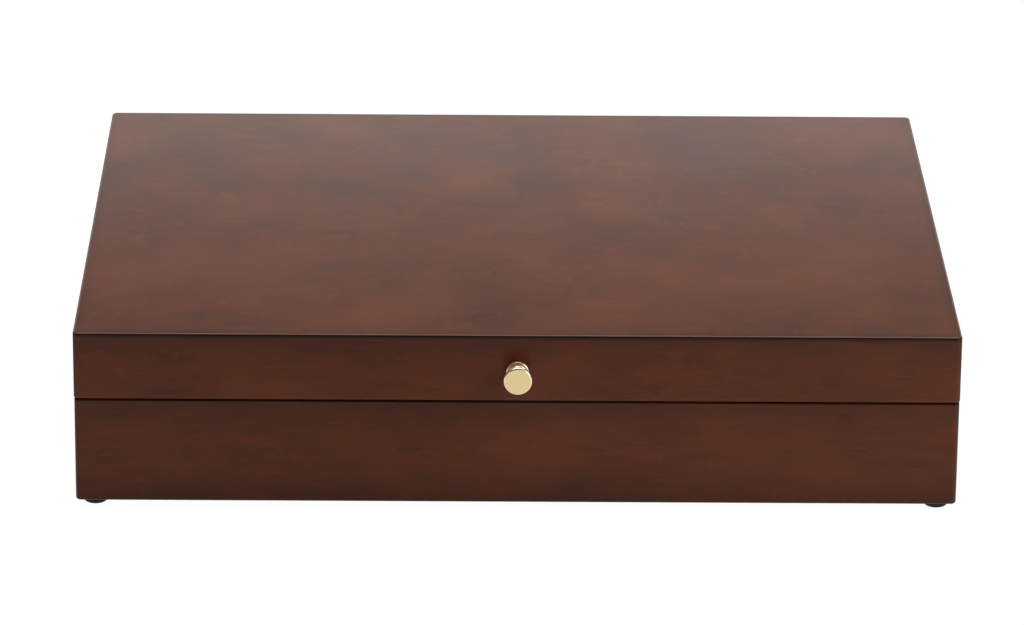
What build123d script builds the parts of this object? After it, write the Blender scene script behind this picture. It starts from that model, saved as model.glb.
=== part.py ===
"""Silverware chest: a flat wooden box with a hinged lid, a brass knob and four bumper feet.

The base and the lid are mitred frames of stained boards. The base has a rebated bottom panel and
the lid a rebated top. Two brass butt hinges with stop heels carry the lid and hold it open just
past upright. Inside, every face is lined with anti-tarnish cloth on card. Cloth-covered racks hold
stacked forks and spoons in the base and knives in the lid, beside an open space for serving pieces.

X runs along the front, Y from front to back and Z up. The origin is on the table, at the bottom
centre of the whole chest with its knob and hinges. All lengths are in millimetres.
"""

from build123d import *
from math import cos, radians, sin
import os

os.makedirs("parts", exist_ok=True)

# ---------------------------------------------------------------- driving dimensions
# Outside
lid_width = 394.0
lid_depth = 317.5
lid_height = 31.0
lid_overhang = 0.2  # the lid stands this far past the base on every side
lid_gap = 0.6  # open seam between the two rims
base_height = 48.1
foot_height = 3.8

# Boards
wall = 9.5  # thickness of the side boards
corner_radius = 2.5  # upright corners
edge_radius = 1.2  # lower outside edges of the base
rim_radius = 0.6  # outside edges where the lid meets the base
bottom_thickness = 5.0
bottom_rebate = 4.5  # how far the bottom panel lies under the side boards
top_thickness = 6.0
top_lip = 3.0  # edge of the top that covers the lid boards
top_edge_radius = 1.1
panel_fit = 0.1  # clearance round the bottom panel and the top's plug

# Feet
foot_radius = 5.6
foot_round = 2.0
foot_side_inset = 8.4  # from the sides to the centre of the foot
foot_end_inset = 10.0  # from the front and back to the centre of the foot

# Knob
knob_drop = 17.4  # from the top of the lid to the knob's centre
knob_reach = 12.2
knob_radius = 6.4
knob_head = 2.0  # thickness of the front disc
knob_head_round = 0.9
knob_flange_radius = 5.15
knob_flange = 1.7
knob_flange_round = 0.6
knob_cove_radius = 4.4  # where the waist meets the flange and the head
knob_waist_radius = 3.1
knob_bore_depth = 9.0
knob_screw_radius = 2.0
knob_screw_grip = 7.5  # length of the screw inside the knob
knob_screw_head_radius = 3.8
knob_screw_head = 2.2
knob_screw_head_round = 1.0
knob_screw_slot = 0.9
knob_screw_slot_depth = 1.1

# Hinges
hinge_inset = 72.0  # from the side of the lid to the hinge's centre
hinge_width = 30.0
leaf_thickness = 1.2
leaf_reach = 8.0  # how far a leaf lies in over the rim
knuckle_count = 5
knuckle_radius = 2.0
knuckle_gap = 0.2  # between neighbouring knuckles
barrel_gap = 0.3  # between the barrel and the back of the lid
pin_radius = 1.1
pin_fit = 0.04
pin_head_radius = 1.6
pin_head = 0.5
pin_head_round = 0.35
stop_angle = 95.0  # how far the lid opens
stop_slack = 0.3  # degrees left between the heels at that angle
heel_reach = 4.6  # from the pin's centre to the heel's tip
heel_thickness = 1.1
heel_gap = 0.25  # between a heel and the other leaf's knuckles

# Hinge screws, slotted and countersunk
screw_spacing = 10.0
screw_count = 3
screw_setback = 4.9  # from the back of the lid
screw_head_radius = 2.1
screw_shank_radius = 1.05
screw_length = 9.5
screw_tip = 2.0
screw_slot = 0.5
screw_slot_depth = 0.55
screw_fit = 0.05

# Cushioning dots on the base rim, under the lid's front corners
dot_radius = 2.8
dot_thickness = 0.5
dot_setback = 18.0  # from the side of the base

# Cloth-covered lining
liner = 2.0  # card and cloth together
liner_drop = 1.5  # the lining stops this far inside the rim
liner_fit = 0.1

# Racks and divider in the base
lane_count = 10
lane_width = 16.0
lane_depth = 20.0
rack_height = 28.0
rack_thickness = 14.0
rack_setback = 64.0  # from the lining to the rack's centre line
tooth_round = 2.0
divider_thickness = 8.0
divider_height = 31.0
serving_width = 70.0  # clear space right of the divider

# Knife racks in the lid
knife_count = 12
knife_slot = 10.0
knife_slot_depth = 14.0
knife_rack_height = 19.0
handle_rack_thickness = 18.0
blade_rack_thickness = 12.0
knife_rack_setback = 72.0  # from the lining to the rack's centre line
knife_tooth_round = 1.5

# ---------------------------------------------------------------- levels and lines
rim = foot_height + base_height
lid_low = rim + lid_gap
lid_high = lid_low + lid_height
board_top = lid_high - top_lip
floor_low = foot_height + bottom_thickness
floor_z = floor_low + liner
ceiling_high = lid_high - top_thickness
ceiling_z = ceiling_high - liner
knob_z = lid_high - knob_drop

base_width = lid_width - 2 * lid_overhang
base_depth = lid_depth - 2 * lid_overhang
base_inner_width = base_width - 2 * wall
base_inner_depth = base_depth - 2 * wall
lid_inner_width = lid_width - 2 * wall
lid_inner_depth = lid_depth - 2 * wall

# The knob reaches out in front of the lid, and the hinges' heels behind it
axis_out = barrel_gap + knuckle_radius
half_stop = radians((stop_angle + stop_slack) / 2)
heel_out = axis_out + heel_reach * cos(half_stop)
chest_y = (knob_reach - heel_out) / 2
lid_front_y = chest_y - lid_depth / 2
lid_back_y = chest_y + lid_depth / 2
axis_y = lid_back_y + axis_out
axis_z = rim + lid_gap / 2

HINGES = {"left": hinge_inset - lid_width / 2, "right": lid_width / 2 - hinge_inset}
MITRES = {
    "front": ((-1, -1), (1, -1)),
    "right": ((1, -1), (1, 1)),
    "back": ((1, 1), (-1, 1)),
    "left": ((-1, 1), (-1, -1)),
}


def level(z):
    """A drawing plane at height z, centred on the box."""
    return Plane((0, chest_y, z))


def facing_front(x, y, z):
    """A drawing plane through x, y, z that faces the front, with its own Y pointing up."""
    return Plane((x, y, z), x_dir=(1, 0, 0), z_dir=(0, -1, 0))


def corners_at(drawing, axis, place):
    """The corners of a drawing that lie at one place along an axis."""
    return drawing.vertices().filter_by_position(axis, place - 0.01, place + 0.01)


def save(builder, name):
    """Labels a finished piece and writes it to its own file."""
    builder.part.label = name
    export_step(builder.part, f"parts/{name}.step")


# ---------------------------------------------------------------- mitred boards
def frame_board(side, width, depth, low, high, rounding):
    """One board of a mitred frame. The rounding gives a radius for the low (0) or high (-1) edges."""
    ends = MITRES[side]
    outer = [(x * width / 2, y * depth / 2) for x, y in ends]
    inner = [(x * (width / 2 - 2 * wall), y * (depth / 2 - 2 * wall)) for x, y in reversed(ends)]
    with BuildPart() as board:
        with BuildSketch(level(low)):
            RectangleRounded(width, depth, corner_radius)
        extrude(amount=high - low)
        for face, radius in rounding.items():
            fillet(board.faces().sort_by(Axis.Z)[face].edges(), radius)
        with BuildSketch(level(low)):
            Rectangle(width - 2 * wall, depth - 2 * wall)
        extrude(amount=high - low, mode=Mode.SUBTRACT)
        with BuildSketch(level(low)):
            with BuildLine():
                Polyline(*outer, *inner, close=True)
            make_face()
        extrude(amount=high - low, mode=Mode.INTERSECT)
    return board.part


def base_board(side):
    """A base board, with the rebate that takes the bottom panel."""
    rebate = wall - bottom_rebate
    with BuildPart() as board:
        add(frame_board(side, base_width, base_depth, foot_height, rim, {0: edge_radius, -1: rim_radius}))
        with BuildSketch(level(foot_height)):
            Rectangle(base_width - 2 * rebate, base_depth - 2 * rebate)
        extrude(amount=bottom_thickness, mode=Mode.SUBTRACT)
    return board.part


def lid_board(side):
    """A lid board. Its upper edge is square, because the top's lip covers it."""
    return frame_board(side, lid_width, lid_depth, lid_low, board_top, {0: rim_radius})


def screw_places(hinge_x):
    """The X of each screw in the hinge leaf centred at hinge_x."""
    first = hinge_x - screw_spacing * (screw_count - 1) / 2
    return [first + screw_spacing * n for n in range(screw_count)]


def hinge_seats(face_z, up):
    """What both hinges take out of a rim at face_z: a shallow seat each, and the screw holes."""
    with BuildPart() as seats:
        with BuildSketch(Plane((0, lid_back_y - leaf_reach / 2, face_z))):
            for x in HINGES.values():
                with Locations((x, 0)):
                    Rectangle(hinge_width + 2 * screw_fit, leaf_reach)
        extrude(amount=up * leaf_thickness)
        with BuildSketch(Plane((0, lid_back_y - screw_setback, face_z))):
            for x in HINGES.values():
                with Locations(*[(screw_x, 0) for screw_x in screw_places(x)]):
                    Circle(screw_shank_radius + screw_fit)
        extrude(amount=up * (screw_length + screw_fit))
    return seats.part


for side in ("front", "left", "right"):
    with BuildPart() as base_side:
        add(base_board(side))
    save(base_side, f"base_{side}")

with BuildPart() as base_back:
    add(base_board("back"))
    add(hinge_seats(rim, -1), mode=Mode.SUBTRACT)
save(base_back, "base_back")

with BuildPart() as base_bottom:
    with BuildSketch(level(foot_height)):
        bottom_inset = wall - bottom_rebate + panel_fit
        Rectangle(base_width - 2 * bottom_inset, base_depth - 2 * bottom_inset)
    extrude(amount=bottom_thickness)
save(base_bottom, "base_bottom")

for side in ("left", "right"):
    with BuildPart() as lid_side:
        add(lid_board(side))
    save(lid_side, f"lid_{side}")

with BuildPart() as lid_back:
    add(lid_board("back"))
    add(hinge_seats(lid_low, 1), mode=Mode.SUBTRACT)
save(lid_back, "lid_back")

# The lid's front board takes the knob: a clear hole, counterbored from inside for the screw's head
knob_screw_recess = knob_screw_head + screw_fit
board_inside = Plane((0, lid_front_y + wall, knob_z), x_dir=(1, 0, 0), z_dir=(0, 1, 0))

with BuildPart() as lid_front:
    add(lid_board("front"))
    with Locations(board_inside):
        CounterBoreHole(
            knob_screw_radius + screw_fit,
            knob_screw_head_radius + screw_fit,
            knob_screw_recess,
            depth=wall,
        )
save(lid_front, "lid_front")

# The top is one panel: its lip covers the boards and its plug drops between them
with BuildPart() as lid_top:
    with BuildSketch(level(board_top)):
        RectangleRounded(lid_width, lid_depth, corner_radius)
    extrude(amount=top_lip)
    fillet(lid_top.faces().sort_by(Axis.Z)[-1].edges(), top_edge_radius)
    with BuildSketch(level(ceiling_high)):
        Rectangle(lid_inner_width - 2 * panel_fit, lid_inner_depth - 2 * panel_fit)
    extrude(amount=top_thickness - top_lip)
save(lid_top, "lid_top")

# ---------------------------------------------------------------- feet
# Soft domed bumpers with a small flat where they stand
for row, y_side in (("front", -1), ("back", 1)):
    for column, x_side in (("left", -1), ("right", 1)):
        foot_x = x_side * (base_width / 2 - foot_side_inset)
        foot_y = chest_y + y_side * (base_depth / 2 - foot_end_inset)
        with BuildPart() as foot:
            with BuildSketch(Plane((foot_x, foot_y, 0))):
                Circle(foot_radius)
            extrude(amount=foot_height)
            fillet(foot.edges().filter_by(GeomType.CIRCLE).sort_by(Axis.Z)[0], foot_round)
        save(foot, f"foot_{row}_{column}")

# ---------------------------------------------------------------- knob and its screw
# A turned profile, drawn outwards from the lid's face: flange, cove to a waist, and a round-edged disc
head_start = knob_reach - knob_head
knob_profile = Plane((0, lid_front_y, knob_z), x_dir=(0, -1, 0), z_dir=(-1, 0, 0))

with BuildPart() as knob:
    with BuildSketch(knob_profile) as turning:
        with BuildLine():
            Polyline(
                (knob_flange, knob_cove_radius),
                (knob_flange, knob_flange_radius),
                (0, knob_flange_radius),
                (0, 0),
                (knob_reach, 0),
                (knob_reach, knob_radius),
                (head_start, knob_radius),
                (head_start, knob_cove_radius),
            )
            ThreePointArc(
                (head_start, knob_cove_radius),
                ((knob_flange + head_start) / 2, knob_waist_radius),
                (knob_flange, knob_cove_radius),
            )
        make_face()
        fillet(corners_at(turning, Axis.Y, knob_radius), knob_head_round)
        fillet(corners_at(turning, Axis.Y, knob_flange_radius).sort_by(Axis.X)[-1], knob_flange_round)
    revolve(axis=Axis((0, lid_front_y, knob_z), (0, 1, 0)))
    with BuildSketch(facing_front(0, lid_front_y, knob_z)):
        Circle(knob_screw_radius + screw_fit)
    extrude(amount=knob_bore_depth, mode=Mode.SUBTRACT)
save(knob, "knob")

head_seat = board_inside.offset(-knob_screw_recess)

with BuildPart() as knob_screw:
    with BuildSketch(head_seat):
        Circle(knob_screw_head_radius)
    extrude(amount=knob_screw_head)
    fillet(knob_screw.edges().filter_by(GeomType.CIRCLE).sort_by(Axis.Y)[-1], knob_screw_head_round)
    with BuildSketch(head_seat):
        Circle(knob_screw_radius)
    extrude(amount=knob_screw_recess - wall - knob_screw_grip)
    with BuildSketch(head_seat.offset(knob_screw_head)):
        Rectangle(2 * knob_screw_head_radius, knob_screw_slot)
    extrude(amount=-knob_screw_slot_depth, mode=Mode.SUBTRACT)
save(knob_screw, "knob_screw")

# ---------------------------------------------------------------- stop hinges
# Each leaf is a plate let into its rim, with rolled knuckles and, behind them, a heel. The heels of
# the two leaves stand half the stop angle above and below the pin's level, and meet when it is used up.
knuckle_pitch = hinge_width / knuckle_count
knuckle_width = knuckle_pitch - knuckle_gap


def heel_section(inner_radius, up):
    """A heel's section: a bar that runs out along the stop face, from inner_radius to the tip."""
    along = Vector(cos(half_stop), up * sin(half_stop))
    away = Vector(-sin(half_stop), up * cos(half_stop)) * heel_thickness
    root = along * inner_radius
    tip = along * heel_reach
    with BuildSketch() as section:
        with BuildLine():
            Polyline(root, tip, tip + away, root + away, close=True)
        make_face()
    return section.sketch


def hinge_leaf(hinge_x, up, first_knuckle):
    """A leaf with its knuckles and heel. up is 1 for the lid's leaf and -1 for the base's."""
    plate_middle = up * (lid_gap + leaf_thickness) / 2
    plate_back = -axis_out + screw_fit
    plate_front = -axis_out - leaf_reach
    across = Plane(
        (hinge_x - hinge_width / 2, axis_y, axis_z), x_dir=(0, 1, 0), z_dir=(1, 0, 0)
    )
    with BuildPart() as leaf:
        with BuildSketch(across):
            with Locations(((plate_back + plate_front) / 2, plate_middle)):
                Rectangle(plate_back - plate_front, leaf_thickness)
            add(heel_section(knuckle_radius + heel_gap, up))
        extrude(amount=hinge_width)
        for n in range(first_knuckle, knuckle_count, 2):
            with BuildSketch(across.offset(n * knuckle_pitch + knuckle_gap / 2)):
                Circle(knuckle_radius)
                with Locations((plate_back / 2, plate_middle)):
                    Rectangle(-plate_back, leaf_thickness)
                add(heel_section(pin_radius, up))
            extrude(amount=knuckle_width)
        with BuildSketch(across):
            Circle(pin_radius + pin_fit)
        extrude(amount=hinge_width, mode=Mode.SUBTRACT)
        heads = [
            Plane((x, lid_back_y - screw_setback, axis_z + up * lid_gap / 2), z_dir=(0, 0, -up))
            for x in screw_places(hinge_x)
        ]
        with Locations(*heads):
            CounterSinkHole(
                screw_shank_radius + screw_fit,
                screw_head_radius + screw_fit,
                depth=leaf_thickness,
                counter_sink_angle=90,
            )
    return leaf.part


def hinge_screws(face_z, up):
    """The screws of both hinges, with their heads at face_z and their points up or down from it."""
    places = [(x, 0) for hinge_x in HINGES.values() for x in screw_places(hinge_x)]
    cone = screw_head_radius - screw_shank_radius
    with BuildPart(mode=Mode.PRIVATE) as screw:
        with BuildSketch(facing_front(0, 0, 0)):
            with BuildLine():
                Polyline(
                    (0, 0),
                    (screw_head_radius, 0),
                    (screw_shank_radius, up * cone),
                    (screw_shank_radius, up * (screw_length - screw_tip)),
                    (0, up * screw_length),
                    close=True,
                )
            make_face()
        revolve(axis=Axis.Z)
        with BuildSketch():
            Rectangle(2 * screw_head_radius, screw_slot)
        extrude(amount=up * screw_slot_depth, mode=Mode.SUBTRACT)
    with BuildPart(Plane((0, lid_back_y - screw_setback, face_z))) as row:
        with Locations(*places):
            add(screw.part)
    return row.part


for name, hinge_x in HINGES.items():
    with BuildPart() as base_leaf:
        add(hinge_leaf(hinge_x, -1, 0))
    save(base_leaf, f"hinge_{name}_base_leaf")

    with BuildPart() as lid_leaf:
        add(hinge_leaf(hinge_x, 1, 1))
    save(lid_leaf, f"hinge_{name}_lid_leaf")

    pin_middle = Plane((hinge_x, axis_y, axis_z), x_dir=(0, 1, 0), z_dir=(1, 0, 0))
    with BuildPart() as pin:
        with BuildSketch(pin_middle):
            Circle(pin_radius)
        extrude(amount=hinge_width / 2, both=True)
        for end in (-1, 1):
            with BuildSketch(pin_middle.offset(end * hinge_width / 2)):
                Circle(pin_head_radius)
            extrude(amount=end * pin_head)
        circles = pin.edges().filter_by(GeomType.CIRCLE).sort_by(Axis.X)
        fillet((circles[0], circles[-1]), pin_head_round)
    save(pin, f"hinge_{name}_pin")

with BuildPart() as base_screws:
    add(hinge_screws(rim, -1))
save(base_screws, "hinge_screws_base")

with BuildPart() as lid_screws:
    add(hinge_screws(lid_low, 1))
save(lid_screws, "hinge_screws_lid")

# ---------------------------------------------------------------- cushioning dots
with BuildPart() as lid_dots:
    dot_x = base_width / 2 - dot_setback
    with BuildSketch(Plane((0, chest_y - base_depth / 2 + wall / 2, rim))):
        with Locations((-dot_x, 0), (dot_x, 0)):
            Circle(dot_radius)
    extrude(amount=dot_thickness)
save(lid_dots, "lid_cushion_dots")


# ---------------------------------------------------------------- linings
def slab(low, high, width, depth, x=0, y=0):
    """A flat block between two heights, centred at x, y from the middle of the box."""
    with BuildPart() as block:
        with BuildSketch(level(low)):
            with Locations((x, y)):
                Rectangle(width, depth)
        extrude(amount=high - low)
    return block


def line_walls(prefix, width, depth, low, high):
    """Lines the four walls round an inside of this width and depth. The side ones fit between."""
    long_width = width - 2 * liner_fit
    short_depth = depth - 2 * liner - 2 * liner_fit
    wall_x = (width - liner) / 2
    wall_y = (depth - liner) / 2
    save(slab(low, high, long_width, liner, y=-wall_y), f"{prefix}_lining_front")
    save(slab(low, high, long_width, liner, y=wall_y), f"{prefix}_lining_back")
    save(slab(low, high, liner, short_depth, x=-wall_x), f"{prefix}_lining_left")
    save(slab(low, high, liner, short_depth, x=wall_x), f"{prefix}_lining_right")


base_clear_width = base_inner_width - 2 * liner
base_clear_depth = base_inner_depth - 2 * liner
lid_clear_width = lid_inner_width - 2 * liner
lid_clear_depth = lid_inner_depth - 2 * liner

line_walls("base", base_inner_width, base_inner_depth, floor_low, rim - liner_drop)
base_floor = slab(
    floor_low, floor_z, base_clear_width - 2 * liner_fit, base_clear_depth - 2 * liner_fit
)
save(base_floor, "base_lining_floor")

line_walls("lid", lid_inner_width, lid_inner_depth, lid_low + liner_drop, ceiling_high)
lid_ceiling = slab(
    ceiling_z, ceiling_high, lid_clear_width - 2 * liner_fit, lid_clear_depth - 2 * liner_fit
)
save(lid_ceiling, "lid_lining_ceiling")


# ---------------------------------------------------------------- racks and divider
def rack(across, length, height, thickness, count, slot, depth, tooth):
    """A bar with round-bottomed slots, drawn from the middle of its foot and made thickness deep."""
    pitch = length / count
    places = [(n + 0.5) * pitch - length / 2 for n in range(count)]
    straight = depth - slot / 2
    with BuildPart() as bar:
        with BuildSketch(across) as outline:
            with Locations((0, height / 2)):
                Rectangle(length, height)
            with Locations(*[(x, height - straight) for x in places]):
                Circle(slot / 2, mode=Mode.SUBTRACT)
            with Locations(*[(x, height - straight / 2) for x in places]):
                Rectangle(slot, straight, mode=Mode.SUBTRACT)
            fillet(corners_at(outline, Axis.Y, height), tooth)
        extrude(amount=thickness / 2, both=True)
    return bar


divider_x = base_clear_width / 2 - serving_width - divider_thickness / 2
rack_left = -base_clear_width / 2 + liner_fit
rack_right = divider_x - divider_thickness / 2 - liner_fit

for name, y_side in (("front", -1), ("back", 1)):
    rack_y = chest_y + y_side * (base_clear_depth / 2 - rack_setback)
    rack_x = (rack_left + rack_right) / 2
    flatware_rack = rack(
        facing_front(rack_x, rack_y, floor_z),
        rack_right - rack_left,
        rack_height,
        rack_thickness,
        lane_count,
        lane_width,
        lane_depth,
        tooth_round,
    )
    save(flatware_rack, f"flatware_rack_{name}")

with BuildPart() as divider:
    with BuildSketch(level(floor_z)):
        with Locations((divider_x, 0)):
            Rectangle(divider_thickness, base_clear_depth - 2 * liner_fit)
    extrude(amount=divider_height)
    fillet(divider.faces().sort_by(Axis.Z)[-1].edges().filter_by(Axis.Y), tooth_round)
save(divider, "serving_divider")

for name, y_side, thickness in (
    ("blade", -1, blade_rack_thickness),
    ("handle", 1, handle_rack_thickness),
):
    rack_y = chest_y + y_side * (lid_clear_depth / 2 - knife_rack_setback)
    hanging = Plane((0, rack_y, ceiling_z), x_dir=(-1, 0, 0), z_dir=(0, -1, 0))
    knife_rack = rack(
        hanging,
        lid_clear_width - 2 * liner_fit,
        knife_rack_height,
        thickness,
        knife_count,
        knife_slot,
        knife_slot_depth,
        knife_tooth_round,
    )
    save(knife_rack, f"knife_rack_{name}")
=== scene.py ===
from math import asin, pi, radians

import bmesh
import bpy
from mathutils import Matrix, Vector


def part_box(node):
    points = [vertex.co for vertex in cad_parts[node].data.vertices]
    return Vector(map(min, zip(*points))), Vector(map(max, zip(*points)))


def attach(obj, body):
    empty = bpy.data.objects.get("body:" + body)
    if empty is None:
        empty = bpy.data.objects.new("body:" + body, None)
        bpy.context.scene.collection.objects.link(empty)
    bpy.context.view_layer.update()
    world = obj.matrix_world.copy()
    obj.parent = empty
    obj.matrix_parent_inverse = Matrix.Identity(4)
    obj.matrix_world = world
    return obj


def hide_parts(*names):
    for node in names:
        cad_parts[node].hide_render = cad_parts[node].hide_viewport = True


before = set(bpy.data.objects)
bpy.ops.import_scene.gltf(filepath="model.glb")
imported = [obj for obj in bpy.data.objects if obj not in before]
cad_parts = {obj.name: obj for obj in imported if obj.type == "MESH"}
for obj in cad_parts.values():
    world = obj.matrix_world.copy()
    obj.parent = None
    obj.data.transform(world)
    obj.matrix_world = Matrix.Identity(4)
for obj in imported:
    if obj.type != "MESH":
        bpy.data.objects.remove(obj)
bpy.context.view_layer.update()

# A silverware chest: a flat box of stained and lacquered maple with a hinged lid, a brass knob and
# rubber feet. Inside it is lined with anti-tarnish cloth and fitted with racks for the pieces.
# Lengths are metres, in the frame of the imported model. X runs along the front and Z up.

mm = 0.001

# ---------------------------------------------------------------- camera
# A long lens two and a half metres off looks twenty degrees down on the chest. The photograph was
# taken a touch left of the middle, and half a degree out of level.
camera_place = Vector((-33.0, -2518.6, 949.7)) * mm
camera_aim = Vector((-0.6, 12.7, 33.4)) * mm
camera_roll = 0.56  # degrees
lens_mm = 200.1
sensor_mm = 36.0

camera_data = bpy.data.cameras.new("camera")
camera_data.lens = lens_mm
camera_data.sensor_width = sensor_mm
camera = bpy.data.objects.new("camera", camera_data)
bpy.context.scene.collection.objects.link(camera)
sight = (camera_aim - camera_place).to_track_quat("-Z", "Y").to_matrix().to_4x4()
camera.matrix_world = Matrix.Translation(camera_place) @ sight @ Matrix.Rotation(radians(camera_roll), 4, "Z")
bpy.context.scene.camera = camera

# ---------------------------------------------------------------- base boards
# Four mitred boards, veneered with maple. The stain is wiped on by hand, so it lies in soft clouds
# with warmer glimpses between. The edges are darkened, partly by toner and partly as painted shade: a
# soft band that fades into the board, a thin dark line under the arris, and a painted highlight on one arris.
cloud_stain = "#452416"
body_stain = "#693112"
glow_stain = "#7E421C"
# One dark colour for the toner and for the painted shade along the edges
toner_and_shade_colour = "#160A08"
# The colour of a pale painted highlight along an arris
arris_highlight_colour = "#9A7360"
toner_and_shade_reach = 17.0 * mm  # how far the soft band of toner and painted shade reaches into a wall
toner_and_shade_on_top = 3.0  # times narrower on the top than on the walls
seam_line = 0.9 * mm  # reach of the thin dark line along the base's edges, partly toner and partly painted shade by the seam
arris_highlight_band = 0.2 * mm  # half the width of the pale painted highlight along an arris


def linear(colour):
    """An sRGB hex colour as the linear red, green, blue and alpha that a shader takes."""
    parts = [int(colour[n:n + 2], 16) / 255 for n in (1, 3, 5)]
    return [p / 12.92 if p <= 0.04045 else ((p + 0.055) / 1.055) ** 2.4 for p in parts] + [1.0]


def add_node(tree, kind, inputs=None, **settings):
    """Adds a node, gives it its settings, and fills its inputs with values or with other sockets."""
    node = tree.nodes.new(kind)
    for name, value in settings.items():
        setattr(node, name, value)
    for name, value in (inputs or {}).items():
        if isinstance(value, bpy.types.NodeSocket):
            tree.links.new(value, node.inputs[name])
        else:
            node.inputs[name].default_value = value
    return node


def new_material(name):
    """A material with its node tree and its shader."""
    material = bpy.data.materials.new(name)
    material.use_nodes = True
    return material, material.node_tree, material.node_tree.nodes["Principled BSDF"]


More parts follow.
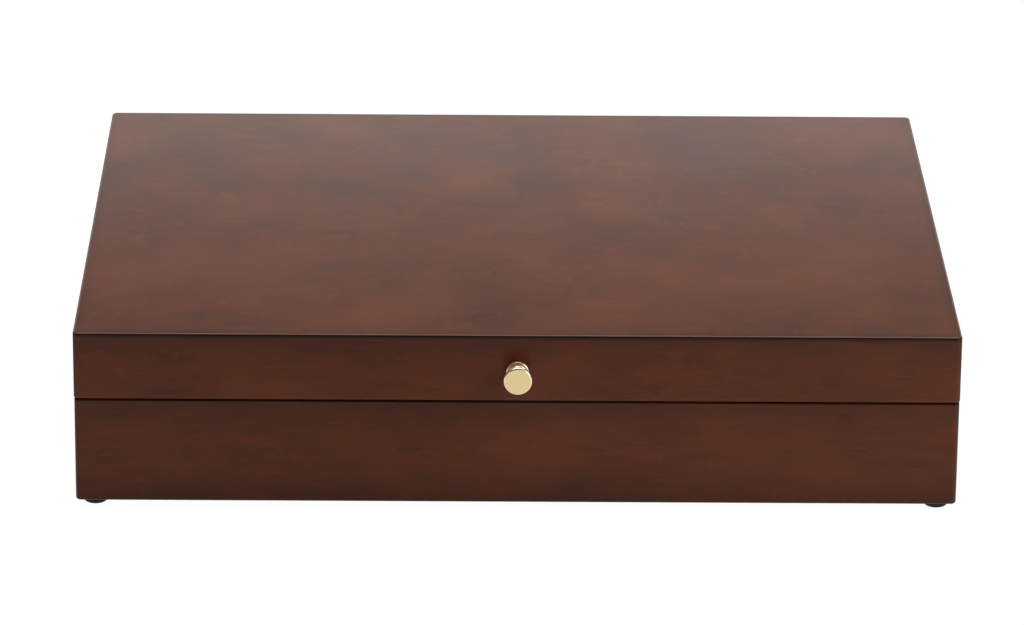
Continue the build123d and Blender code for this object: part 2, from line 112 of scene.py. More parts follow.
def stained_veneer(name, grain, low, high, line, cloudiness, sheet, arris, highlight_strength):
    """Stained maple veneer under satin lacquer, with its grain along one axis. Along the upper and lower
    edges of the box from low to high it is darkened, partly toner and partly painted shade, with a dark
    line that reaches so far down, and it has a pale painted highlight along the arris at one height."""
    material, tree, shader = new_material(name)
    place = add_node(tree, "ShaderNodeTexCoord").outputs["Object"]

    # Marks of the stain and the wood, each so many millimetres with the grain, across it and in height
    marks = {}
    for mark, along, across, upwards, detail, curl, start in (
        ("cloud", 42, 58, 24, 3.0, 0.0, 74.2),
        ("warmth", 50, 70, 34, 2.0, 0.0, 77.9),
        ("mottle", 24, 9, 5, 3.0, 0.4, 51.3),
        ("grain", 10, 2.0, 1.8, 4.0, 0.3, 7.1),
        ("fleck", 9, 2.6, 1.3, 2.0, 0.9, 11.3),
        ("figure", 24, 22, 6, 1.5, 0.2, 17.9),
        ("patch", 16, 14, 8, 2.0, 0.0, 23.3),
        ("rubbing", 60, 80, 40, 2.0, 0.0, 31.9),
    ):
        size = [along * mm, across * mm, upwards * mm]
        if grain == "Y":
            size = [across * mm, along * mm, upwards * mm]
        spread = add_node(
            tree,
            "ShaderNodeMapping",
            {"Vector": place, "Location": [start + sheet] * 3, "Scale": [1 / s for s in size]},
        )
        noise = add_node(
            tree,
            "ShaderNodeTexNoise",
            {"Vector": spread.outputs["Vector"], "Scale": 1.0, "Detail": detail, "Distortion": curl},
        )
        marks[mark] = noise.outputs["Fac"]

    # The figure is the lines where the veneer was cut through the yearly rings. It shows in patches.
    rings = add_node(tree, "ShaderNodeMath", {0: marks["figure"], 1: 2 * pi * 6}, operation="MULTIPLY")
    lines = add_node(tree, "ShaderNodeMath", {0: rings.outputs[0]}, operation="SINE")
    shown = add_node(
        tree,
        "ShaderNodeMapRange",
        {"Value": marks["patch"], "From Min": 0.5, "From Max": 0.68},
        interpolation_type="SMOOTHSTEP",
    )
    figure = add_node(
        tree, "ShaderNodeMath", {0: lines.outputs[0], 1: shown.outputs["Result"]}, operation="MULTIPLY"
    )
    flecks = add_node(
        tree, "ShaderNodeMapRange", {"Value": marks["fleck"], "From Min": 0.64, "From Max": 0.74}
    )

    # All marks together say how light the stain is at each point
    tone = 0.0
    for source, strength, middle in (
        (marks["cloud"], 0.7 * cloudiness, 0.5),
        (marks["mottle"], 0.38, 0.5),
        (marks["grain"], 0.2, 0.5),
        (figure.outputs[0], 0.2 * cloudiness, 0.0),
        (flecks.outputs["Result"], 0.16, 0.0),
    ):
        offset = tone if tone else 0.5
        level = add_node(
            tree, "ShaderNodeMath", {0: source, 1: strength, 2: offset}, operation="MULTIPLY_ADD"
        )
        shift = add_node(
            tree, "ShaderNodeMath", {0: level.outputs[0], 1: strength * middle}, operation="SUBTRACT"
        )
        tone = shift.outputs[0]
    stain = add_node(tree, "ShaderNodeValToRGB", {"Fac": tone})
    stain.color_ramp.elements[0].color = linear(cloud_stain)
    stain.color_ramp.elements[0].position = 0.22
    stain.color_ramp.elements[1].color = linear(body_stain)
    stain.color_ramp.elements[1].position = 0.78
    warm = add_node(
        tree,
        "ShaderNodeMapRange",
        {"Value": marks["warmth"], "From Min": 0.45, "From Max": 0.8, "To Max": 0.5 * cloudiness},
    )
    warmed = add_node(
        tree,
        "ShaderNodeMixRGB",
        {"Fac": warm.outputs["Result"], "Color1": stain.outputs["Color"], "Color2": linear(glow_stain)},
    )

    # How far a point lies inside the box: from its sides, and from its top or bottom
    centred = add_node(
        tree, "ShaderNodeVectorMath", {0: place, 1: (low + high) / 2}, operation="SUBTRACT"
    )
    outwards = add_node(tree, "ShaderNodeVectorMath", {0: centred.outputs[0]}, operation="ABSOLUTE")
    inwards = add_node(
        tree,
        "ShaderNodeVectorMath",
        {0: (high - low) / 2, 1: outwards.outputs[0]},
        operation="SUBTRACT",
    )
    depth = add_node(tree, "ShaderNodeSeparateXYZ", {"Vector": inwards.outputs[0]}).outputs
    wall = add_node(tree, "ShaderNodeMath", {0: depth["X"], 1: depth["Y"]}, operation="MINIMUM")
    across_top = add_node(tree, "ShaderNodeMath", {0: wall.outputs[0], 1: toner_and_shade_on_top}, operation="MULTIPLY")
    from_edge = add_node(
        tree, "ShaderNodeMath", {0: across_top.outputs[0], 1: depth["Z"]}, operation="MAXIMUM"
    )
    # A soft band near the top and bottom edges, partly toner and partly painted shade
    fade = add_node(
        tree,
        "ShaderNodeMapRange",
        {"Value": from_edge.outputs[0], "From Max": toner_and_shade_reach, "To Min": 0.36, "To Max": 0.0},
    )
    # A thin dark line under the arris and beside the seam, partly toner and partly painted shade
    down = add_node(tree, "ShaderNodeMath", {0: depth["Z"], 1: 1 / line}, operation="MULTIPLY")
    thin = add_node(tree, "ShaderNodeValToRGB", {"Fac": down.outputs[0]})
    thin.color_ramp.interpolation = "EASE"
    thin.color_ramp.elements[0].position = 0.09
    thin.color_ramp.elements[1].position = 1.0
    thin.color_ramp.elements[1].color = (0, 0, 0, 1)
    thin.color_ramp.elements.new(0.14).color = (1, 1, 1, 1)
    toner_and_shade = add_node(
        tree, "ShaderNodeMath", {0: fade.outputs["Result"], 1: thin.outputs["Color"]}, operation="MAXIMUM"
    )
    coloured = add_node(
        tree,
        "ShaderNodeMixRGB",
        {"Fac": toner_and_shade.outputs[0], "Color1": warmed.outputs["Color"], "Color2": linear(toner_and_shade_colour)},
    )
    # A pale painted highlight along the arris at one height
    height = add_node(tree, "ShaderNodeSeparateXYZ", {"Vector": place}).outputs["Z"]
    off_arris = add_node(tree, "ShaderNodeMath", {0: height, 1: arris, 2: arris_highlight_band}, operation="COMPARE")
    arris_highlight = add_node(tree, "ShaderNodeMath", {0: off_arris.outputs[0], 1: highlight_strength}, operation="MULTIPLY")
    highlighted = add_node(
        tree,
        "ShaderNodeMixRGB",
        {"Fac": arris_highlight.outputs[0], "Color1": coloured.outputs["Color"], "Color2": linear(arris_highlight_colour)},
    )
    tree.links.new(highlighted.outputs["Color"], shader.inputs["Base Color"])

    # The lacquer is rubbed to an uneven satin, and the grain and the figure telegraph through it
    sheen = add_node(
        tree,
        "ShaderNodeMapRange",
        {"Value": marks["rubbing"], "To Min": 0.27, "To Max": 0.33},
    )
    tree.links.new(sheen.outputs["Result"], shader.inputs["Roughness"])
    relief = add_node(
        tree, "ShaderNodeMath", {0: figure.outputs[0], 1: 0.15, 2: marks["grain"]}, operation="MULTIPLY_ADD"
    )
    telegraph = add_node(
        tree, "ShaderNodeBump", {"Height": relief.outputs[0], "Strength": 0.35, "Distance": 0.05 * mm}
    )
    tree.links.new(telegraph.outputs["Normal"], shader.inputs["Normal"])
    shader.inputs["IOR"].default_value = 1.5
    shader.inputs["Specular IOR Level"].default_value = 0.16
    return material


def finish_node(name, material):
    """Gives a carried-over piece of the model its finish."""
    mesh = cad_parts[name].data
    mesh.materials.clear()
    mesh.materials.append(material)


base_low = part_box("base_left")[0]
base_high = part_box("base_right")[1]
wall_cloud = 0.5  # the walls are stained more evenly than the top
base_sheet = 87.6
# The base's bottom arris carries a faint painted highlight
base_edges = (base_low, base_high, seam_line, wall_cloud, base_sheet, base_low.z + arris_highlight_band, 0.12)
base_long = stained_veneer("stained_maple_satin_lacquer_base_long", "X", *base_edges)
base_side = stained_veneer("stained_maple_satin_lacquer_base_side", "Y", *base_edges)
for board in ("base_front", "base_back"):
    finish_node(board, base_long)
for board in ("base_left", "base_right"):
    finish_node(board, base_side)

# ---------------------------------------------------------------- bottom panel
# A panel of pressed hardboard, left bare. Its smooth face shows short dark fibres in a brown ground.
hardboard_brown = "#6E4A2E"
hardboard_fibre = "#3F2817"


def bare_hardboard():
    """Pressed wood fibre, unlacquered: a dull brown sheet, freckled with darker fibres."""
    material, tree, shader = new_material("bare_pressed_hardboard")
    place = add_node(tree, "ShaderNodeTexCoord").outputs["Object"]
    fibres = add_node(
        tree,
        "ShaderNodeTexNoise",
        {"Vector": place, "Scale": 1 / (1.6 * mm), "Detail": 5.0, "Roughness": 0.7, "Distortion": 1.2},
    )
    freckles = add_node(
        tree, "ShaderNodeMapRange", {"Value": fibres.outputs["Fac"], "From Min": 0.42, "From Max": 0.62}
    )
    coloured = add_node(
        tree,
        "ShaderNodeMixRGB",
        {
            "Fac": freckles.outputs["Result"],
            "Color1": linear(hardboard_brown),
            "Color2": linear(hardboard_fibre),
        },
    )
    tree.links.new(coloured.outputs["Color"], shader.inputs["Base Color"])
    relief = add_node(
        tree, "ShaderNodeBump", {"Height": fibres.outputs["Fac"], "Strength": 0.4, "Distance": 0.1 * mm}
    )
    tree.links.new(relief.outputs["Normal"], shader.inputs["Normal"])
    shader.inputs["Roughness"].default_value = 0.78
    shader.inputs["Specular IOR Level"].default_value = 0.3
    return material


finish_node("base_bottom", bare_hardboard())

# ---------------------------------------------------------------- feet
# Four soft bumpers of black moulded rubber, stuck on under the corners. The skin is matt, with the
# faint pebble that the mould left and a little floor dust in it.
rubber_black = "#151313"
rubber_dust = "#231F1E"


def moulded_rubber():
    """Black moulded rubber: a matt skin with a fine pebble and a trace of dust."""
    material, tree, shader = new_material("moulded_black_rubber")
    place = add_node(tree, "ShaderNodeTexCoord").outputs["Object"]
    pebble = add_node(
        tree, "ShaderNodeTexNoise", {"Vector": place, "Scale": 1 / (0.5 * mm), "Detail": 3.0}
    )
    dust = add_node(
        tree, "ShaderNodeTexNoise", {"Vector": place, "Scale": 1 / (3.0 * mm), "Detail": 2.0}
    )
    dusted = add_node(
        tree,
        "ShaderNodeMapRange",
        {"Value": dust.outputs["Fac"], "From Min": 0.5, "From Max": 0.75, "To Max": 0.6},
    )
    coloured = add_node(
        tree,
        "ShaderNodeMixRGB",
        {
            "Fac": dusted.outputs["Result"],
            "Color1": linear(rubber_black),
            "Color2": linear(rubber_dust),
        },
    )
    tree.links.new(coloured.outputs["Color"], shader.inputs["Base Color"])
    relief = add_node(
        tree, "ShaderNodeBump", {"Height": pebble.outputs["Fac"], "Strength": 0.3, "Distance": 0.05 * mm}
    )
    tree.links.new(relief.outputs["Normal"], shader.inputs["Normal"])
    shader.inputs["Roughness"].default_value = 0.62
    shader.inputs["Specular IOR Level"].default_value = 0.25
    return material


rubber = moulded_rubber()
for foot in ("foot_front_left", "foot_front_right", "foot_back_left", "foot_back_right"):
    finish_node(foot, rubber)

# ---------------------------------------------------------------- base lining
# Brown anti-tarnish flannel, stretched over card and turned in behind it, one panel for each wall
# and one for the floor. The nap is short, so it drinks the light and shows a pale bloom at a slant.
flannel_brown = "#3A271D"
flannel_nap = "#5A4030"
card_grey = "#8A8378"
cloth_thickness = 0.5 * mm
cloth_turn = 0.8 * mm  # the cloth rounds the card's edges this softly
hem = 8.0 * mm


def napped_flannel():
    """Cotton flannel with a brushed nap: dull and soft, cloudy where the nap leans another way. The
    threads are finer than the render shows, so they are drawn about twice as coarse."""
    material, tree, shader = new_material("brushed_cotton_flannel")
    place = add_node(tree, "ShaderNodeTexCoord").outputs["Object"]
    threads = add_node(
        tree, "ShaderNodeTexNoise", {"Vector": place, "Scale": 1 / (0.9 * mm), "Detail": 3.0, "Roughness": 0.7}
    )
    lean = add_node(
        tree, "ShaderNodeTexNoise", {"Vector": place, "Scale": 1 / (22.0 * mm), "Detail": 3.0}
    )
    nap = add_node(
        tree,
        "ShaderNodeMath",
        {0: threads.outputs["Fac"], 1: 0.8, 2: lean.outputs["Fac"]},
        operation="MULTIPLY_ADD",
    )
    raised = add_node(
        tree, "ShaderNodeMapRange", {"Value": nap.outputs[0], "From Min": 0.65, "From Max": 1.15}
    )
    coloured = add_node(
        tree,
        "ShaderNodeMixRGB",
        {
            "Fac": raised.outputs["Result"],
            "Color1": linear(flannel_brown),
            "Color2": linear(flannel_nap),
        },
    )
    tree.links.new(coloured.outputs["Color"], shader.inputs["Base Color"])
    relief = add_node(
        tree, "ShaderNodeBump", {"Height": threads.outputs["Fac"], "Strength": 0.5, "Distance": 0.15 * mm}
    )
    tree.links.new(relief.outputs["Normal"], shader.inputs["Normal"])
    shader.inputs["Roughness"].default_value = 0.95
    shader.inputs["Specular IOR Level"].default_value = 0.15
    shader.inputs["Sheen Weight"].default_value = 0.25
    shader.inputs["Sheen Roughness"].default_value = 0.5
    return material


def grey_card():
    """Unbleached card: pressed pulp, flat grey with a faint mottle. The cloth covers it."""
    material, tree, shader = new_material("pressed_grey_card")
    place = add_node(tree, "ShaderNodeTexCoord").outputs["Object"]
    mottle = add_node(
        tree, "ShaderNodeTexNoise", {"Vector": place, "Scale": 1 / (2.5 * mm), "Detail": 4.0}
    )
    shade = add_node(
        tree,
        "ShaderNodeHueSaturation",
        {"Value": mottle.outputs["Fac"], "Color": linear(card_grey)},
    )
    tree.links.new(shade.outputs["Color"], shader.inputs["Base Color"])
    shader.inputs["Roughness"].default_value = 0.9
    return material


def add_piece(name, shape, body, material):
    """Turns a finished bmesh into a piece that rides on a body."""
    bmesh.ops.recalc_face_normals(shape, faces=shape.faces)
    mesh = bpy.data.meshes.new(name)
    shape.to_mesh(mesh)
    shape.free()
    mesh.materials.append(material)
    piece = bpy.data.objects.new(name, mesh)
    bpy.context.scene.collection.objects.link(piece)
    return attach(piece, body)


def block(low, high):
    """A block from its lowest to its highest corner."""
    shape = bmesh.new()
    bmesh.ops.create_cube(shape, size=1.0)
    bmesh.ops.scale(shape, vec=high - low, verts=shape.verts)
    bmesh.ops.translate(shape, vec=(low + high) / 2, verts=shape.verts)
    return shape


def skin(piece):
    """Gives a cloth cover its thickness, inwards from the face that shows."""
    wall = piece.modifiers.new("cloth", "SOLIDIFY")
    wall.thickness = cloth_thickness
    wall.offset = -1.0
    return piece


def soften(shape, edges, width, steps):
    """Rounds some edges of a bmesh."""
    bmesh.ops.bevel(
        shape, geom=edges, offset=width, segments=steps, profile=0.5, affect="EDGES", material=-1
    )


def covered_card(node, body, facing):
    """A lining panel: a card with cloth over its face, round its edges and in behind it. facing is
    the direction in which the panel shows."""
    low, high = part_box(node)

    cover = block(low, high)
    soften(cover, cover.edges[:], cloth_turn, 3)
    back = min(cover.faces, key=lambda face: face.calc_center_median().dot(Vector(facing)))
    bmesh.ops.inset_region(cover, faces=[back], thickness=hem)
    bmesh.ops.delete(cover, geom=[back], context="FACES")
    cloth = skin(add_piece(f"{node}_cloth", cover, body, flannel))
    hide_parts(node)

    inset = Vector([cloth_thickness] * 3) * 1.1
    add_piece(f"{node}_card", block(low + inset, high - inset), body, card)


flannel = napped_flannel()
card = grey_card()
for side, facing in (
    ("front", (0, 1, 0)),
    ("back", (0, -1, 0)),
    ("left", (1, 0, 0)),
    ("right", (-1, 0, 0)),
):
    covered_card(f"base_lining_{side}", "base", facing)
covered_card("base_lining_floor", "base", (0, 0, 1))

# ---------------------------------------------------------------- racks in the base
# Two bars, slotted for stacks of forks and spoons, and a divider. Each is a wooden bar with the same
# flannel glued over it and into its slots.
lane_count = 10
lane_width = 16.0 * mm
lane_depth = 20.0 * mm
bar_tooth_round = 2.0 * mm
cover_round = 1.0 * mm
bar_wood = "#B08D63"


def poplar_bar():
    """Planed poplar: a plain pale wood with long faint grain. The cloth covers it."""
    material, tree, shader = new_material("planed_poplar")
    place = add_node(tree, "ShaderNodeTexCoord").outputs["Object"]
    drawn_out = add_node(
        tree,
        "ShaderNodeMapping",
        {"Vector": place, "Scale": (1 / (30 * mm), 1 / (2 * mm), 1 / (2 * mm))},
    )
    grain = add_node(
        tree, "ShaderNodeTexNoise", {"Vector": drawn_out.outputs["Vector"], "Scale": 1.0, "Detail": 4.0}
    )
    shade = add_node(
        tree, "ShaderNodeHueSaturation", {"Value": grain.outputs["Fac"], "Color": linear(bar_wood)}
    )
    tree.links.new(shade.outputs["Color"], shader.inputs["Base Color"])
    shader.inputs["Roughness"].default_value = 0.7
    return material


def slotted_bar(low, high, up, count, slot, depth, tooth, inset):
    """A bar with round-bottomed slots along the side that points up (1) or down (-1). inset makes
    the bar under the cloth, smaller all round than the cover."""
    height = high.z - low.z - inset
    pitch = (high.x - low.x) / count
    radius = slot / 2 + inset
    straight = depth - slot / 2 - inset
    shape = bmesh.new()

    # One lane of the toothed edge: half a tooth, down the slot, round its bottom and up again
    middle = Vector((0, 0, height - straight))
    turn = bmesh.ops.create_vert(shape, co=middle - Vector((radius, 0, 0)))["vert"]
    bmesh.ops.spin(
        shape, geom=turn, cent=middle, axis=(0, 1, 0), angle=-pi, steps=12, use_merge=False
    )
    ends = sorted(shape.verts, key=lambda v: v.co.x)
    for end, side in ((ends[0], -1), (ends[-1], 1)):
        for goal in (Vector((side * radius, 0, height)), Vector((side * pitch / 2, 0, height))):
            grown = bmesh.ops.extrude_vert_indiv(shape, verts=[end])["verts"]
            end = grown[0]
            end.co = goal
    lane = shape.verts[:] + shape.edges[:]
    for n in range(1, count):
        copied = bmesh.ops.duplicate(shape, geom=lane)["geom"]
        moved = [g for g in copied if isinstance(g, bmesh.types.BMVert)]
        bmesh.ops.translate(shape, vec=(n * pitch, 0, 0), verts=moved)
    bmesh.ops.remove_doubles(shape, verts=shape.verts, dist=0.01 * mm)

    # The ends run down to the foot and close the outline, which is then as thick as the bar
    outer = sorted(shape.verts, key=lambda v: v.co.x)
    for end in (outer[0], outer[-1]):
        end.co.x += inset if end is outer[0] else -inset
        foot = bmesh.ops.extrude_vert_indiv(shape, verts=[end])["verts"]
        foot[0].co.z = 0.0
    bmesh.ops.contextual_create(shape, geom=[e for e in shape.edges])
    lips = [v for v in shape.verts if abs(v.co.z - height) < 0.01 * mm and 0 < (v.co.x + pitch / 2) % pitch]
    lips = [v for v in lips if abs(abs((v.co.x + pitch / 2) % pitch - pitch / 2) - radius) < 0.01 * mm]
    bmesh.ops.bevel(
        shape, geom=lips, offset=tooth, segments=4, profile=0.5, affect="VERTICES", material=-1
    )
    side_face = bmesh.ops.extrude_face_region(shape, geom=shape.faces[:])["geom"]
    far_side = [g for g in side_face if isinstance(g, bmesh.types.BMVert)]
    bmesh.ops.translate(shape, vec=(0, high.y - low.y - 2 * inset, 0), verts=far_side)

    bmesh.ops.scale(shape, vec=(1, 1, up), verts=shape.verts)
    start = low.z if up > 0 else high.z
    bmesh.ops.translate(shape, vec=(low.x + pitch / 2, low.y + inset, start), verts=shape.verts)
    return shape


def cover_bar(node, body, shape, bar_shape):
    """A covered bar: the cloth, open only where the bar is glued down, and the bar inside it."""
    low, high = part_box(node)
    foot = low.z if body == "base" else high.z
    arrises = [
        e
        for e in shape.edges
        if len(e.link_faces) == 2
        and e.calc_face_angle(0) > radians(60)
        and any(abs(f.normal.y) > 0.9 for f in e.link_faces)
        and not all(abs(v.co.z - foot) < 0.01 * mm for v in e.verts)
    ]
    soften(shape, arrises, cover_round, 3)
    sole = [f for f in shape.faces if all(abs(v.co.z - foot) < 0.01 * mm for v in f.verts)]
    bmesh.ops.delete(shape, geom=sole, context="FACES")
    bar = add_piece(f"{node}_bar", bar_shape, body, poplar)
    cloth = skin(add_piece(f"{node}_cloth", shape, body, flannel))
    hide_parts(node)


poplar = poplar_bar()
inside = cloth_thickness * 1.1
for name in ("flatware_rack_front", "flatware_rack_back"):
    low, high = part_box(name)
    lanes = (1, lane_count, lane_width, lane_depth, bar_tooth_round)
    cover_bar(name, "base", slotted_bar(low, high, *lanes, 0.0), slotted_bar(low, high, *lanes, inside))

low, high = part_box("serving_divider")
covers = []
for shrink in (0.0, inside):
    bar = block(low + Vector((shrink, shrink, 0)), high - Vector((shrink, shrink, shrink)))
    ridge = [e for e in bar.edges if all(abs(v.co.z - (high.z - shrink)) < 0.01 * mm for v in e.verts)]
    soften(bar, [e for e in ridge if abs(e.verts[0].co.y - e.verts[1].co.y) > mm], bar_tooth_round, 4)
    covers.append(bar)
cover_bar("serving_divider", "base", covers[0], covers[1])

# ---------------------------------------------------------------- lid boards and top
# The lid's frame is mitred like the base's, and its top is one veneered panel with a rounded edge
# let in between the boards. Only the upper edges are darkened, partly toner and partly painted shade,
# with a broader dark line, and not the lower ones beside the seam, which carry a faint painted highlight.
lid_line = 4.0 * mm
top_cloud = 0.9
chest_low = base_low
chest_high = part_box("lid_top")[1]
# Heights of the painted highlights along the lid's lower arris and the top's arris
seam_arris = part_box("lid_front")[0].z + 1.0 * mm
top_arris = chest_high.z - 0.22 * mm
lid_sheet = 51.1
top_sheet = 14.6
lid_edges = (chest_low, chest_high, lid_line, wall_cloud, lid_sheet, seam_arris, 0.05)
lid_long = stained_veneer("stained_maple_satin_lacquer_lid_long", "X", *lid_edges)
lid_side = stained_veneer("stained_maple_satin_lacquer_lid_side", "Y", *lid_edges)
for board in ("lid_front", "lid_back"):
    finish_node(board, lid_long)
for board in ("lid_left", "lid_right"):
    finish_node(board, lid_side)
top_edges = (chest_low, chest_high, lid_line, top_cloud, top_sheet, top_arris, 0.3)
finish_node("lid_top", stained_veneer("stained_maple_satin_lacquer_top", "X", *top_edges))

# ---------------------------------------------------------------- knob and its screw
# One turned piece of pale brass, buffed on the lathe and clear lacquered: a beaded flange with a
# sloped shoulder, a hollow neck and a flat round head. A zinc-plated screw holds it from inside the lid.
knob_gold = "#DEC893"
# The paler colour of the painted highlight on the knob's rim and flange
knob_highlight_colour = "#F3DDC4"
zinc_grey = "#A9ABA8"
lathe_ring = 0.35 * mm
knob_steps = 96
knob_low, knob_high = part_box("knob")
knob_centre = (knob_low + knob_high) / 2
head_radius = (knob_high.x - knob_low.x) / 2
head_thickness = 2.0 * mm
head_round = 0.9 * mm
neck_end = 3.3 * mm  # the neck's radius at its ends and in its middle
neck_middle = 3.1 * mm
shoulder_top = 2.6 * mm  # how far the shoulder and the bead stand out from the lid
shoulder_foot = 0.9 * mm
shoulder_radius = 4.5 * mm
bead_top = 1.4 * mm
bead_radius = 5.15 * mm
bead_round = 0.6 * mm
bead_inner_round = 0.2 * mm
bore_radius = 2.1 * mm
bore_depth = 9.0 * mm


def turned_knob():
    """The knob's outline, turned once round its axis, with its rims rounded over."""
    x, z = knob_centre.x, knob_centre.z
    neck_start = knob_high.y - shoulder_top
    neck_stop = knob_low.y + head_thickness
    half = (neck_start - neck_stop) / 2
    hollow = neck_end - neck_middle
    bend = (half ** 2 + hollow ** 2) / (2 * hollow)
    middle = Vector((x, neck_start - half, z + neck_middle + bend))
    shape = bmesh.new()
    start = bmesh.ops.create_vert(shape, co=(x, neck_start, z + neck_end))["vert"]
    bmesh.ops.spin(
        shape, geom=start, cent=middle, axis=(1, 0, 0), angle=-2 * asin(half / bend), steps=8, use_merge=False
    )
    ends = sorted(shape.verts, key=lambda v: v.co.y)
    head = ((neck_stop, head_radius), (knob_low.y, head_radius), (knob_low.y, 0.0))
    flange = (
        (knob_high.y - shoulder_foot, shoulder_radius),
        (knob_high.y - bead_top, shoulder_radius),
        (knob_high.y - bead_top, bead_radius),
        (knob_high.y, bead_radius),
        (knob_high.y, bore_radius),
        (knob_high.y - bore_depth, bore_radius),
        (knob_high.y - bore_depth, 0.0),
    )
    for end, outline in ((ends[0], head), (ends[-1], flange)):
        for along, radius in outline:
            end = bmesh.ops.extrude_vert_indiv(shape, verts=[end])["verts"][0]
            end.co = (x, along, z + radius)
    outline = shape.verts[:] + shape.edges[:]
    bmesh.ops.spin(
        shape,
        geom=outline,
        cent=knob_centre,
        axis=(0, 1, 0),
        angle=2 * pi,
        steps=knob_steps,
        use_merge=True,
    )
    bmesh.ops.remove_doubles(shape, verts=shape.verts, dist=0.001 * mm)
    for along, radius, width in (
        (knob_low.y, head_radius, head_round),
        (neck_stop, head_radius, head_round),
        (knob_high.y - bead_top, bead_radius, bead_round),
        (knob_high.y - bead_top, shoulder_radius, bead_inner_round),
    ):
        rim = [
            e
            for e in shape.edges
            if all(
                abs(v.co.y - along) < 0.01 * mm
                and abs(Vector((v.co.x - x, v.co.z - z)).length - radius) < 0.01 * mm
                for v in e.verts
            )
        ]
        soften(shape, rim, width, 5)
    bmesh.ops.recalc_face_normals(shape, faces=shape.faces)
    for face in shape.faces:
        face.smooth = abs(face.normal.y) < 0.999
    return shape


def turned_brass():
    """Pale brass polished to a satin: soft bands of light and faint rings round its axis. The head's rim
    and the flange are drawn in a paler colour, as a painted highlight."""
    material, tree, shader = new_material("turned_and_buffed_brass")
    place = add_node(tree, "ShaderNodeTexCoord").outputs["Object"]
    from_axis = add_node(
        tree,
        "ShaderNodeVectorMath",
        {0: place, 1: (knob_centre.x, 0, knob_centre.z)},
        operation="SUBTRACT",
    )
    flat = add_node(
        tree, "ShaderNodeVectorMath", {0: from_axis.outputs[0], 1: (1, 0, 1)}, operation="MULTIPLY"
    )
    radius = add_node(tree, "ShaderNodeVectorMath", {0: flat.outputs[0]}, operation="LENGTH")
    turns = add_node(
        tree, "ShaderNodeMath", {0: radius.outputs["Value"], 1: 2 * pi / lathe_ring}, operation="MULTIPLY"
    )
    rings = add_node(tree, "ShaderNodeMath", {0: turns.outputs[0]}, operation="SINE")
    relief = add_node(
        tree, "ShaderNodeBump", {"Height": rings.outputs[0], "Strength": 0.05, "Distance": 0.01 * mm}
    )
    tree.links.new(relief.outputs["Normal"], shader.inputs["Normal"])
    touch = add_node(
        tree, "ShaderNodeTexNoise", {"Vector": place, "Scale": 1 / (4.0 * mm), "Detail": 3.0}
    )
    polish = add_node(
        tree, "ShaderNodeMapRange", {"Value": touch.outputs["Fac"], "To Min": 0.28, "To Max": 0.34}
    )
    tree.links.new(polish.outputs["Result"], shader.inputs["Roughness"])
    # Painted highlight: the head's rim and the flange take the paler colour
    rim_highlight = add_node(
        tree,
        "ShaderNodeMapRange",
        {
            "Value": radius.outputs["Value"],
            "From Min": head_radius - head_round,
            "From Max": head_radius - head_round / 2,
        },
    )
    along = add_node(tree, "ShaderNodeSeparateXYZ", {"Vector": place}).outputs["Y"]
    flange = add_node(
        tree,
        "ShaderNodeMapRange",
        {"Value": along, "From Min": knob_high.y - 1.5 * shoulder_top, "From Max": knob_high.y - shoulder_top},
    )
    knob_highlight = add_node(
        tree, "ShaderNodeMath", {0: rim_highlight.outputs["Result"], 1: flange.outputs["Result"]}, operation="MAXIMUM"
    )
    coloured = add_node(
        tree,
        "ShaderNodeMixRGB",
        {"Fac": knob_highlight.outputs[0], "Color1": linear(knob_gold), "Color2": linear(knob_highlight_colour)},
    )
    tree.links.new(coloured.outputs["Color"], shader.inputs["Base Color"])
    shader.inputs["Metallic"].default_value = 1.0
    return material


def zinc_plate():
    """Bright zinc plate on steel: cool grey, slightly cloudy."""
    material, tree, shader = new_material("bright_zinc_plate")
    place = add_node(tree, "ShaderNodeTexCoord").outputs["Object"]
    cloud = add_node(
        tree, "ShaderNodeTexNoise", {"Vector": place, "Scale": 1 / (1.5 * mm), "Detail": 3.0}
    )
    dull = add_node(
        tree, "ShaderNodeMapRange", {"Value": cloud.outputs["Fac"], "To Min": 0.25, "To Max": 0.5}
    )
    tree.links.new(dull.outputs["Result"], shader.inputs["Roughness"])
    shader.inputs["Base Color"].default_value = linear(zinc_grey)
    shader.inputs["Metallic"].default_value = 1.0
    return material


knob = add_piece("turned_knob", turned_knob(), "lid", turned_brass())
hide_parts("knob")
finish_node("knob_screw", zinc_plate())

# ---------------------------------------------------------------- lid lining
# The lid is lined like the base, with a panel on each wall and one under the top.
for side, facing in (
    ("front", (0, 1, 0)),
    ("back", (0, -1, 0)),
    ("left", (1, 0, 0)),
    ("right", (-1, 0, 0)),
):
    covered_card(f"lid_lining_{side}", "lid", facing)
covered_card("lid_lining_ceiling", "lid", (0, 0, -1))

# ---------------------------------------------------------------- knife racks
# Two covered bars across the lid hold the knives, the thicker one by the handles and the thinner one
# by the blades.
knife_count = 12
knife_slot = 10.0 * mm
knife_slot_depth = 14.0 * mm
knife_tooth_round = 1.5 * mm
for name in ("knife_rack_handle", "knife_rack_blade"):
    low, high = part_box(name)
    lanes = (-1, knife_count, knife_slot, knife_slot_depth, knife_tooth_round)
    cover_bar(name, "lid", slotted_bar(low, high, *lanes, 0.0), slotted_bar(low, high, *lanes, inside))

# ---------------------------------------------------------------- hinges, pins and screws
# Drawn brass butt hinges with stop heels, let into the rims. They are brushed along their length
# and lacquered, and their slotted screws are of the same brass.
hinge_gold = "#C9A25E"


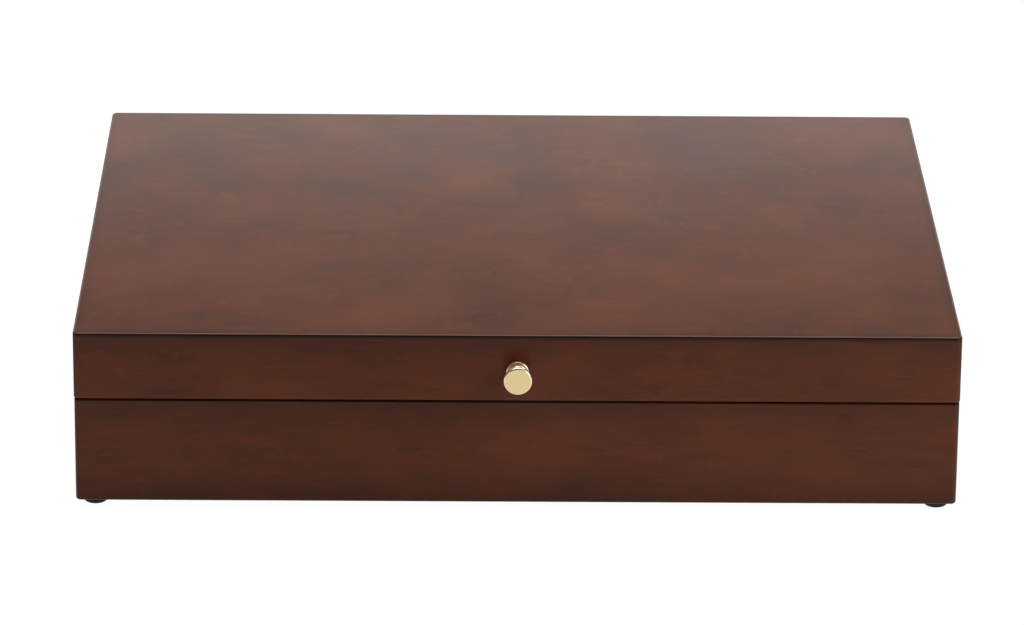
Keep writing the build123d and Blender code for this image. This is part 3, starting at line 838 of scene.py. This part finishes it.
def drawn_brass():
    """Brushed and lacquered brass: fine straight scratches that spread the highlight."""
    material, tree, shader = new_material("brushed_drawn_brass")
    place = add_node(tree, "ShaderNodeTexCoord").outputs["Object"]
    drawn_out = add_node(
        tree,
        "ShaderNodeMapping",
        {"Vector": place, "Scale": (1 / (6 * mm), 1 / (0.15 * mm), 1 / (0.15 * mm))},
    )
    scratches = add_node(
        tree, "ShaderNodeTexNoise", {"Vector": drawn_out.outputs["Vector"], "Scale": 1.0, "Detail": 3.0}
    )
    dull = add_node(
        tree, "ShaderNodeMapRange", {"Value": scratches.outputs["Fac"], "To Min": 0.22, "To Max": 0.42}
    )
    tree.links.new(dull.outputs["Result"], shader.inputs["Roughness"])
    relief = add_node(
        tree, "ShaderNodeBump", {"Height": scratches.outputs["Fac"], "Strength": 0.15, "Distance": 0.02 * mm}
    )
    tree.links.new(relief.outputs["Normal"], shader.inputs["Normal"])
    shader.inputs["Base Color"].default_value = linear(hinge_gold)
    shader.inputs["Metallic"].default_value = 1.0
    return material


brass = drawn_brass()
for side in ("left", "right"):
    for part in ("base_leaf", "lid_leaf", "pin"):
        finish_node(f"hinge_{side}_{part}", brass)
for screws in ("hinge_screws_base", "hinge_screws_lid"):
    finish_node(screws, brass)

# ---------------------------------------------------------------- cushioning dots
# Two discs of stick-on felt on the base's rim, where the lid comes down.
felt_brown = "#33211A"
felt_fibre = "#4D372B"


def wool_felt():
    """Pressed wool felt: matt and hairy, with lighter fibres matted over the ground."""
    material, tree, shader = new_material("pressed_wool_felt")
    place = add_node(tree, "ShaderNodeTexCoord").outputs["Object"]
    fibres = add_node(
        tree,
        "ShaderNodeTexNoise",
        {"Vector": place, "Scale": 1 / (0.6 * mm), "Detail": 4.0, "Distortion": 1.5},
    )
    coloured = add_node(
        tree,
        "ShaderNodeMixRGB",
        {"Fac": fibres.outputs["Fac"], "Color1": linear(felt_brown), "Color2": linear(felt_fibre)},
    )
    tree.links.new(coloured.outputs["Color"], shader.inputs["Base Color"])
    relief = add_node(
        tree, "ShaderNodeBump", {"Height": fibres.outputs["Fac"], "Strength": 0.6, "Distance": 0.1 * mm}
    )
    tree.links.new(relief.outputs["Normal"], shader.inputs["Normal"])
    shader.inputs["Roughness"].default_value = 0.95
    return material


finish_node("lid_cushion_dots", wool_felt())

# ---------------------------------------------------------------- floor, lamps and surroundings
# A plain white table that fades into a white studio. The lamps are soft boxes: one above, one low
# behind that puts the sheen on the lid, and one in front to the right.
table_span = 12.0
table_white = "#F2F1EF"
seen_glow = 0.93  # how much of the table's white is its own in the picture
room_light = 0.30  # radiance of the room
mirrored_front = 1.25  # what gloss shows of the room, on the camera's side and behind the chest
mirrored_behind = 0.32
mirrored_ceiling = 1.3
lamp_boxes = (
    # name, place, aim, width, height, radiance
    ("overhead", (0.0, 0.12, 1.20), (0.0, 0.0, 0.0), 1.2, 0.8, 3.45),
    ("behind", (0.0, 0.62, 0.20), (0.0, 0.1, 0.08), 1.4, 0.16, 1.12),
    ("left", (-1.2, -1.0, 0.70), (-0.1, -0.15, 0.05), 0.9, 0.9, 0.4),
    ("right", (1.1, -0.9, 0.60), (0.1, -0.15, 0.05), 0.9, 0.9, 3.0),
)

table_mesh = bmesh.new()
bmesh.ops.create_grid(table_mesh, x_segments=1, y_segments=1, size=table_span / 2)
table_data = bpy.data.meshes.new("table")
table_mesh.to_mesh(table_data)
table_mesh.free()
table = bpy.data.objects.new("table", table_data)
bpy.context.scene.collection.objects.link(table)

white, tree, shader = new_material("white_studio_table")
tree.nodes.remove(shader)
matt = add_node(tree, "ShaderNodeBsdfDiffuse", {"Color": linear(table_white)})
place = add_node(tree, "ShaderNodeTexCoord").outputs["Object"]
across = add_node(tree, "ShaderNodeSeparateXYZ", {"Vector": place}).outputs
# In gloss the table glows: painted light before the chest, painted shade behind it, brighter to the sides
bright = add_node(
    tree,
    "ShaderNodeMapRange",
    {"Value": across["Y"], "From Min": -0.20, "From Max": 0.0, "To Min": 1.0, "To Max": 0.08},
)
past_knob = add_node(tree, "ShaderNodeMath", {0: across["X"], 1: 70 * mm}, operation="ADD")
sideways = add_node(tree, "ShaderNodeMath", {0: past_knob.outputs[0]}, operation="ABSOLUTE")
flanks = add_node(
    tree,
    "ShaderNodeMapRange",
    {"Value": sideways.outputs[0], "From Min": 0.0, "From Max": 0.25, "To Min": 0.92, "To Max": 1.28},
)
shine = add_node(
    tree, "ShaderNodeMath", {0: bright.outputs["Result"], 1: flanks.outputs["Result"]}, operation="MULTIPLY"
)
mirrored = add_node(tree, "ShaderNodeEmission", {"Strength": shine.outputs[0]})
glow = add_node(tree, "ShaderNodeEmission", {"Strength": 1.05})
rays = add_node(tree, "ShaderNodeLightPath").outputs
seen = add_node(tree, "ShaderNodeMath", {0: rays["Is Camera Ray"], 1: seen_glow}, operation="MULTIPLY")
glossy = add_node(
    tree, "ShaderNodeMath", {0: rays["Is Glossy Ray"], 1: rays["Is Transmission Ray"]}, operation="MAXIMUM"
)
in_picture = add_node(
    tree,
    "ShaderNodeMixShader",
    {"Fac": seen.outputs[0], 1: matt.outputs["BSDF"], 2: glow.outputs["Emission"]},
)
mixed = add_node(
    tree,
    "ShaderNodeMixShader",
    {"Fac": glossy.outputs[0], 1: in_picture.outputs["Shader"], 2: mirrored.outputs["Emission"]},
)
tree.links.new(mixed.outputs["Shader"], tree.nodes["Material Output"].inputs["Surface"])
table_data.materials.append(white)

for name, place, aim, width, height, radiance in lamp_boxes:
    lamp = bpy.data.lights.new(name, "AREA")
    lamp.shape = "RECTANGLE"
    lamp.size = width
    lamp.size_y = height
    lamp.energy = 4 * radiance * width * height
    box = bpy.data.objects.new(name, lamp)
    box.location = place
    box.rotation_mode = "QUATERNION"
    box.rotation_quaternion = (Vector(aim) - Vector(place)).to_track_quat("-Z", "Y")
    box.visible_camera = False
    bpy.context.scene.collection.objects.link(box)

world = bpy.data.worlds.new("studio")
world.use_nodes = True
bpy.context.scene.world = world
tree = world.node_tree
room = tree.nodes["Background"]
direction = add_node(tree, "ShaderNodeTexCoord").outputs["Generated"]
towards = add_node(tree, "ShaderNodeSeparateXYZ", {"Vector": direction}).outputs
mirrored_room = add_node(
    tree,
    "ShaderNodeMapRange",
    {
        "Value": towards["Y"],
        "From Min": 0.3,
        "From Max": 0.8,
        "To Min": mirrored_front,
        "To Max": mirrored_behind,
    },
)
ceiling = add_node(
    tree,
    "ShaderNodeMapRange",
    {"Value": towards["Z"], "From Min": 0.5, "From Max": 0.8, "To Max": mirrored_ceiling},
)
mirrored = add_node(
    tree, "ShaderNodeMath", {0: mirrored_room.outputs["Result"], 1: ceiling.outputs["Result"]}, operation="MAXIMUM"
)
rays = add_node(tree, "ShaderNodeLightPath").outputs
glossy = add_node(
    tree, "ShaderNodeMath", {0: rays["Is Glossy Ray"], 1: rays["Is Transmission Ray"]}, operation="MAXIMUM"
)
lit = add_node(
    tree,
    "ShaderNodeMapRange",
    {"Value": glossy.outputs[0], "To Min": room_light, "To Max": mirrored.outputs[0]},
)
brightness = add_node(
    tree,
    "ShaderNodeMapRange",
    {"Value": rays["Is Camera Ray"], "To Min": lit.outputs["Result"], "To Max": 1.05},
)
tree.links.new(brightness.outputs["Result"], room.inputs["Strength"])

bpy.context.scene.view_settings.view_transform = "Standard"
